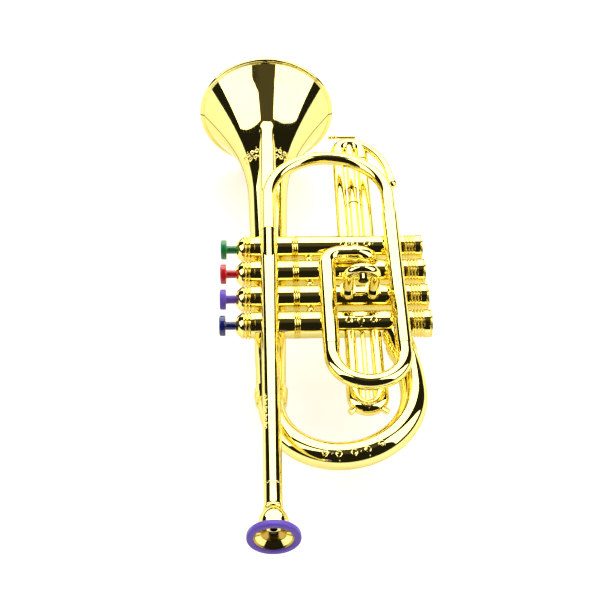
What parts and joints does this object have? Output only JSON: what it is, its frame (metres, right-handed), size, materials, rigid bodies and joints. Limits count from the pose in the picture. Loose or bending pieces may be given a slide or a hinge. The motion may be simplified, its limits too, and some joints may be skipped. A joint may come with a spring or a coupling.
{
  "type": "toy cornet",
  "caption": "Child's toy cornet with coloured spring-loaded keys, a flared bell, looped tubes, a sliding tuning crook and a pull-off mouthpiece.",
  "frame": {"origin": "middle of the footprint as it lies on its left side, at the level of the lowest point of the bell rim", "axes": "+X from the keys to the bottom caps, +Y from the mouthpiece to the bell, +Z to the player's right side, up as it lies"},
  "size_m": [0.1445, 0.37, 0.095],
  "materials": {
    "gold_plastic": "vacuum-metallised gold, mirror gloss",
    "green_plastic": "gloss",
    "red_plastic": "gloss",
    "purple_plastic": "gloss",
    "blue_plastic": "gloss",
    "spring_steel": "bright wire",
    "pad_rubber": "matte",
    "reed_brass": "rolled sheet"
  },
  "bodies": {
    "instrument": {"bell_right_half": "gold_plastic", "bell_left_half": "gold_plastic", "bell_rim_ring": "gold_plastic", "bell_bow": "gold_plastic", "bell_bow_sleeve": "gold_plastic", "bell_bow_ferrule": "gold_plastic", "leadpipe": "gold_plastic", "front_bow": "gold_plastic", "tuning_outer_tube_right": "gold_plastic", "tuning_outer_tube_left": "gold_plastic", "tuning_elbow": "gold_plastic", "tuning_hook_ferrule": "gold_plastic", "casing_spacers": "gold_plastic", "first_slide_legs": "gold_plastic", "first_slide_crook": "gold_plastic", "first_slide_nubs": "gold_plastic", "first_slide_rod": "gold_plastic", "second_slide_loop": "gold_plastic", "second_slide_bands": "gold_plastic", "second_slide_knob": "gold_plastic", "third_slide_legs": "gold_plastic", "third_slide_crook": "gold_plastic", "third_slide_rod": "gold_plastic", "third_slide_brace": "gold_plastic", "third_slide_lever": "gold_plastic", "valve_casing_1": "gold_plastic", "top_cap_1": "gold_plastic", "bottom_cap_1": "gold_plastic", "valve_casing_2": "gold_plastic", "top_cap_2": "gold_plastic", "bottom_cap_2": "gold_plastic", "valve_casing_3": "gold_plastic", "top_cap_3": "gold_plastic", "bottom_cap_3": "gold_plastic", "valve_casing_4": "gold_plastic", "top_cap_4": "gold_plastic", "bottom_cap_4": "gold_plastic", "reed_plate_1": "reed_brass", "reed_plate_2": "reed_brass", "reed_plate_3": "reed_brass", "reed_plate_4": "reed_brass", "key_spring_green": "spring_steel", "key_spring_red": "spring_steel", "key_spring_purple": "spring_steel", "key_spring_blue": "spring_steel"},
    "mouthpiece": {"mouthpiece_cup": "gold_plastic", "mouthpiece_ring": "purple_plastic"},
    "tuning_slide": {"tuning_crook": "gold_plastic", "tuning_inner_tube_left": "gold_plastic", "tuning_inner_tube_right": "gold_plastic"},
    "key_green": {"key_green": "green_plastic", "key_pad_green": "pad_rubber"},
    "key_red": {"key_red": "red_plastic", "key_pad_red": "pad_rubber"},
    "key_purple": {"key_purple": "purple_plastic", "key_pad_purple": "pad_rubber"},
    "key_blue": {"key_blue": "blue_plastic", "key_pad_blue": "pad_rubber"}
  },
  "joints": [
    {"name": "key_green_press", "type": "slide", "parent": "instrument", "child": "key_green", "axis": [1, 0, 0], "range_m": [0, 0.0042], "stiffness_N_per_m": 150, "springref_m": -0.004, "deforming": ["key_spring_green"]},
    {"name": "key_red_press", "type": "slide", "parent": "instrument", "child": "key_red", "axis": [1, 0, 0], "range_m": [0, 0.0042], "stiffness_N_per_m": 150, "springref_m": -0.004, "deforming": ["key_spring_red"]},
    {"name": "key_purple_press", "type": "slide", "parent": "instrument", "child": "key_purple", "axis": [1, 0, 0], "range_m": [0, 0.0042], "stiffness_N_per_m": 150, "springref_m": -0.004, "deforming": ["key_spring_purple"]},
    {"name": "key_blue_press", "type": "slide", "parent": "instrument", "child": "key_blue", "axis": [1, 0, 0], "range_m": [0, 0.0042], "stiffness_N_per_m": 150, "springref_m": -0.004, "deforming": ["key_spring_blue"]},
    {"name": "mouthpiece_pull", "type": "slide", "parent": "instrument", "child": "mouthpiece", "axis": [0, -1, 0], "range_m": [0, 0.013]},
    {"name": "tuning_pull", "type": "slide", "parent": "instrument", "child": "tuning_slide", "axis": [0, -1, 0], "range_m": [0, 0.012]}
  ]
}
